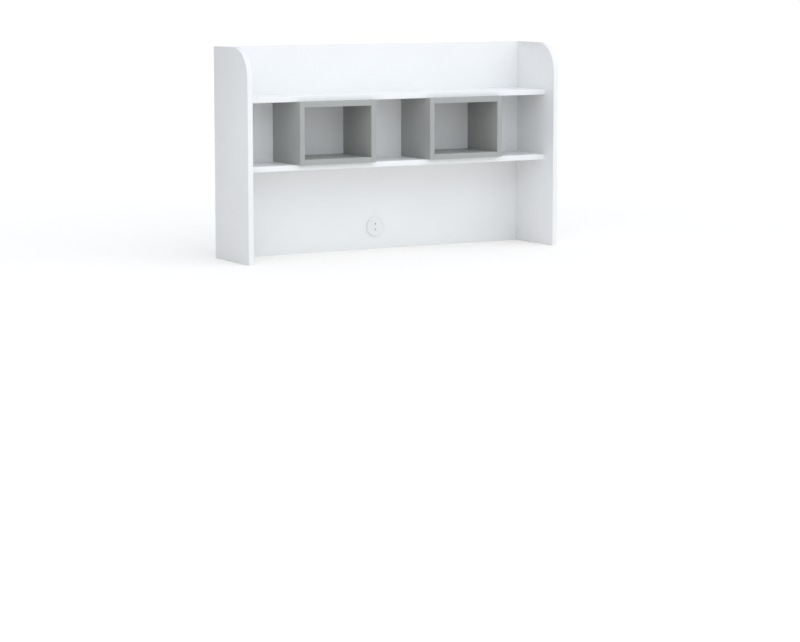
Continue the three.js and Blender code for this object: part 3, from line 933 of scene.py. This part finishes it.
def rear_cover_mesh():
    """The flush cover behind the panel: rounded disc, mould ring, two prising slots and the cord's hole."""
    inside = COVER_BACK + COVER_THICKNESS
    skirt_top = SKIRT_END - FIT_CLEARANCE
    ring_depth = 0.35
    slot_width, slot_length, slot_depth, slot_corner = 1.6, 7.0, 1.0, 0.4
    profile = [
        (0, COVER_BACK),
        (COVER_RADIUS - 5.0, COVER_BACK),
        (COVER_RADIUS - 4.6, COVER_BACK + ring_depth),
        (COVER_RADIUS - 4.2, COVER_BACK + ring_depth),
        (COVER_RADIUS - 3.8, COVER_BACK),
        (COVER_RADIUS, COVER_BACK),
        (COVER_RADIUS, inside),
        (SKIRT_RADIUS, inside),
        (SKIRT_RADIUS, skirt_top),
        (CAVITY_RADIUS, skirt_top),
        (CAVITY_RADIUS, inside),
        (0, inside),
    ]
    cover = turned(rounded(profile, radius=0.4), segments=128)
    hole_radius, hole_low, hole_high = GROMMET_RADIUS + FIT_CLEARANCE, COVER_BACK - PAST, inside + PAST
    hole_profile = [(0, hole_low), (hole_radius, hole_low), (hole_radius, hole_high), (0, hole_high)]
    hole = moved(turned(hole_profile, HOLE_SEGMENTS), (0, -GROMMET_DROP, 0))
    slots = []
    for _, sign in SIDES:
        slot_middle = (sign * (COVER_RADIUS - slot_width / 2), 0)
        outline = rectangle(slot_width, slot_length, slot_middle, slot_corner)
        slots.append(prism(outline, COVER_BACK - PAST, COVER_BACK + slot_depth))
    return carve(cover, [hole, *slots])


def grommet_mesh():
    """A soft ring with a waist, which lines the cord's hole."""
    middle = (GROMMET_RADIUS + GROMMET_BORE) / 2
    low, high = COVER_BACK, COVER_BACK + COVER_THICKNESS
    waist, lip, slope = 0.4, 0.6, 0.2
    profile = [
        (middle, low),
        (GROMMET_RADIUS, low),
        (GROMMET_RADIUS, low + lip),
        (GROMMET_RADIUS - waist, low + lip + slope),
        (GROMMET_RADIUS - waist, high - lip - slope),
        (GROMMET_RADIUS, high - lip),
        (GROMMET_RADIUS, high),
        (GROMMET_BORE, high),
        (GROMMET_BORE, low),
        (middle, low),
    ]
    return moved(turned(rounded(profile, radius=0.5, steps=4), segments=64), (0, -GROMMET_DROP, 0))


put_outlet_part("outlet_faceplate", "moulded", faceplate_mesh(), "white_plastic")
put_outlet_part("outlet_shutter", "moulded", shutter_mesh(), "grey_plastic", body="shutter")
put_outlet_part("outlet_body", "moulded", body_mesh(), "grey_plastic")
put_outlet_part("outlet_rear_cover", "moulded", rear_cover_mesh(), "white_plastic")
put_outlet_part("outlet_cord_grommet", "moulded", grommet_mesh(), "rubber")

# The spring gets its own mesh. On the outlet its far end stays put; its near end keeps its distance from the
# shutter.
spring = put_outlet_part("outlet_shutter_spring", "coiled", spring_mesh(), "steel")
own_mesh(spring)

contact = contact_mesh()
for node, height in zip(("outlet_lower_contact", "outlet_upper_contact"), PIN_HEIGHTS):
    put_outlet_part(node, "pressed", moved(contact, (0, height, BODY_BACK + CONTACT_INSET)), "brass")

# ---------------------------------------------------------------- camera, floor and light

bpy.context.scene.view_settings.view_transform = "Standard"


def make_camera():
    """The camera, level from side to side and tipped a little downwards."""
    data = bpy.data.cameras.new("camera")
    data.lens = CAMERA_LENS
    data.sensor_width = CAMERA_SENSOR
    camera = bpy.data.objects.new("camera", data)
    camera.location = CAMERA_PLACE
    camera.rotation_euler = (math.pi / 2 - CAMERA_PITCH, 0.0, -CAMERA_YAW)
    bpy.context.scene.collection.objects.link(camera)
    bpy.context.scene.camera = camera


def make_floor():
    """A pale floor that fades into the white dome at a distance."""
    mesh = bpy.data.meshes.new("floor")
    half = FLOOR_HALF
    corners = [(-half, -half, 0.0), (half, -half, 0.0), (half, half, 0.0), (-half, half, 0.0)]
    mesh.from_pydata(corners, [], [(0, 1, 2, 3)])
    floor = bpy.data.objects.new("floor", mesh)
    s = Shader("pale_floor", 0.8, specular=0.0)
    s.surface.inputs["Emission Color"].default_value = (1.0, 1.0, 1.0, 1.0)
    distance = s.add("ShaderNodeVectorMath", operation="LENGTH")
    s.link(s.place, distance.inputs[0])
    glow = s.spread(distance.outputs["Value"], FLOOR_GLOW, FLOOR_FAR_GLOW, FLOOR_NEAR, FLOOR_FAR)
    seen = s.add("ShaderNodeLightPath").outputs["Is Camera Ray"]
    s.link(s.math("MULTIPLY", glow, seen), s.surface.inputs["Emission Strength"])
    low, high = tinted(FLOOR_COLOUR, 0.995), tinted(FLOOR_COLOUR, 1.005)
    mesh.materials.append(s.finish(s.ramp(s.noise(0.5), (0.3, low), (0.7, high))))
    bpy.context.scene.collection.objects.link(floor)


def make_lamp():
    """A weak, soft lamp, high up in front on the left."""
    data = bpy.data.lights.new("soft_lamp", "AREA")
    data.shape = "RECTANGLE"
    data.size, data.size_y = LAMP_SIZE
    data.energy = LAMP_POWER
    data.color = LIGHT_TINT
    lamp = bpy.data.objects.new("soft_lamp", data)
    lamp.location = LAMP_PLACE
    lamp.rotation_euler = (Vector(LAMP_TARGET) - Vector(LAMP_PLACE)).to_track_quat("-Z", "Y").to_euler()
    bpy.context.scene.collection.objects.link(lamp)


def make_world():
    """A cool white dome, brightest overhead and in front, seen by the camera as plain white."""
    world = bpy.data.worlds.new("studio")
    world.use_nodes = True
    nodes, links = world.node_tree.nodes, world.node_tree.links
    direction = nodes.new("ShaderNodeTexCoord").outputs["Generated"]
    dome = None
    for side in DOME_SIDES:
        lobe = nodes.new("ShaderNodeVectorMath")
        lobe.operation = "DOT_PRODUCT"
        lobe.inputs[1].default_value = side
        links.new(direction, lobe.inputs[0])
        lit = nodes.new("ShaderNodeMath")
        lit.operation = "MAXIMUM"
        links.new(lobe.outputs["Value"], lit.inputs[0])
        lit.inputs[1].default_value = 0.0
        if dome:
            total = nodes.new("ShaderNodeMath")
            links.new(dome, total.inputs[0])
            links.new(lit.outputs["Value"], total.inputs[1])
            dome = total.outputs["Value"]
        else:
            dome = lit.outputs["Value"]
    background = nodes["Background"]
    background.inputs["Color"].default_value = (*LIGHT_TINT, 1.0)
    links.new(dome, background.inputs["Strength"])
    plain = nodes.new("ShaderNodeBackground")
    plain.inputs["Color"].default_value = (1.0, 1.0, 1.0, 1.0)
    choice = nodes.new("ShaderNodeMixShader")
    links.new(nodes.new("ShaderNodeLightPath").outputs["Is Camera Ray"], choice.inputs["Fac"])
    links.new(background.outputs["Background"], choice.inputs[1])
    links.new(plain.outputs["Background"], choice.inputs[2])
    links.new(choice.outputs["Shader"], nodes["World Output"].inputs["Surface"])
    bpy.context.scene.world = world


make_camera()
make_floor()
make_world()
make_lamp()
